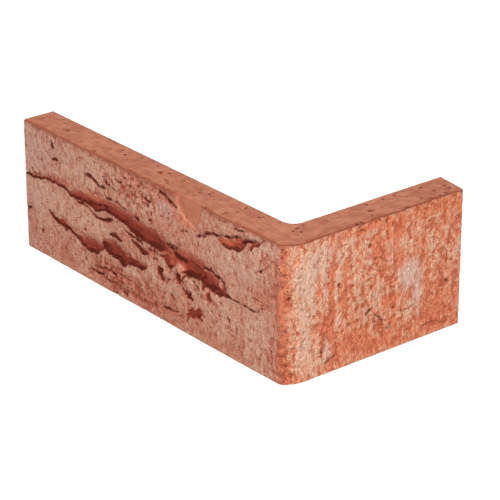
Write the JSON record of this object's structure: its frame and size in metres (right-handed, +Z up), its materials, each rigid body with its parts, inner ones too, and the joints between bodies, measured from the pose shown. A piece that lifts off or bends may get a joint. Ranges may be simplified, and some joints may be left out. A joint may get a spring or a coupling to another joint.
{
  "type": "corner facing brick",
  "caption": "L-shaped slip of hand-moulded fired clay that faces the outside corner of a wall, with deep folds in its long outer face.",
  "frame": {"origin": "middle of the bounding box, on the floor under the lower bed face", "axes": "+X along the long leg from its free end to the corner, +Y along the short leg from the corner to its free end, +Z up the height of the course"},
  "size_m": [0.21, 0.1124, 0.071],
  "materials": {
    "fired_clay": "matt red-orange fired clay with a buff and pink sanded skin"
  },
  "bodies": {
    "root": {"corner_brick": "fired_clay"}
  },
  "joints": []
}
